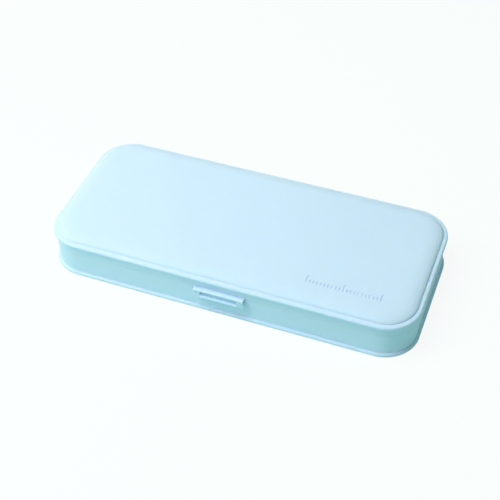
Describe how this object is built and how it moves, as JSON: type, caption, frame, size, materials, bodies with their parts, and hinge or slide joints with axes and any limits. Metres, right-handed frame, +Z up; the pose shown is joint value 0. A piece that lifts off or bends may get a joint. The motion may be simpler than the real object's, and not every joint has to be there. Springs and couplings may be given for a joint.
{
  "type": "pencil case",
  "caption": "Slim moulded plastic pencil case with a hinged flanged lid, a front snap clasp and a lift-out channelled pencil tray.",
  "frame": {"origin": "middle of the flat underside, at the centre of the flange outline", "axes": "+Z up, +X to the right along the length, +Y towards the rear hinge; the clasp faces -Y"},
  "size_m": [0.208, 0.0964, 0.025],
  "materials": {
    "shell_plastic": "fine matte moulded texture, pale blue",
    "clasp_plastic": "fine matte moulded texture, pale blue",
    "tray_plastic": "satin moulded, off-white",
    "pin_steel": "drawn wire"
  },
  "bodies": {
    "base": {"base_shell": "shell_plastic", "hinge_pin_left": "pin_steel", "hinge_pin_right": "pin_steel"},
    "lid": {"lid_shell": "shell_plastic"},
    "clasp": {"clasp": "clasp_plastic", "clasp_pin_left": "pin_steel", "clasp_pin_right": "pin_steel"},
    "tray": {"pencil_tray": "tray_plastic"}
  },
  "joints": [
    {"name": "lid_hinge", "type": "hinge", "parent": "base", "child": "lid", "pos_m": [0, 0.0466, 0.0148], "axis": [-1, 0, 0], "range_deg": [0, 180]},
    {"name": "clasp_hinge", "type": "hinge", "parent": "lid", "child": "clasp", "pos_m": [0, -0.0465, 0.0136], "axis": [-1, 0, 0], "range_deg": [0, 90]},
    {"name": "tray_lift", "type": "slide", "parent": "base", "child": "tray", "axis": [0, 0, 1], "range_m": [0, 0.008]}
  ]
}
